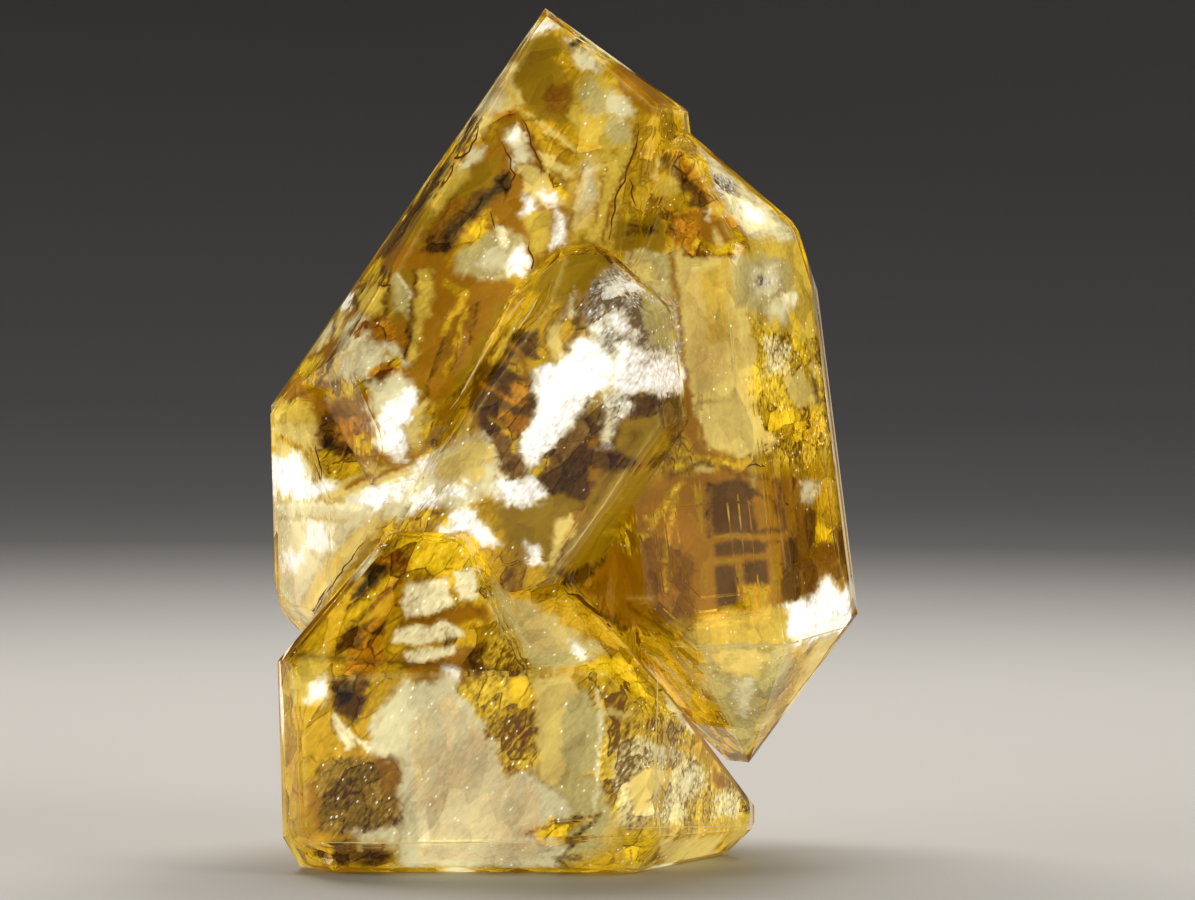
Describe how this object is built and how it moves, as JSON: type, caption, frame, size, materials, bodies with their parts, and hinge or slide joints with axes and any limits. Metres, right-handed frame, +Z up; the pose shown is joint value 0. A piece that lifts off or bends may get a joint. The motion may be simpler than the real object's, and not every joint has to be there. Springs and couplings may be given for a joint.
{
  "type": "quartz crystal cluster",
  "caption": "Golden window quartz: clear, iron-stained, doubly pointed crystals grown into one another, standing on a flat foot as a display specimen.",
  "frame": {"origin": "centre of the footprint's bounding box, on the surface that the cluster stands on", "axes": "+Z up through the tallest point, -Y towards the front, +X to the right of the front"},
  "size_m": [0.0588, 0.0398, 0.0838],
  "materials": {
    "golden_quartz": "clear golden quartz with bright crystal faces, veils and iron stains inside"
  },
  "bodies": {
    "root": {"quartz_cluster": "golden_quartz"}
  },
  "joints": []
}
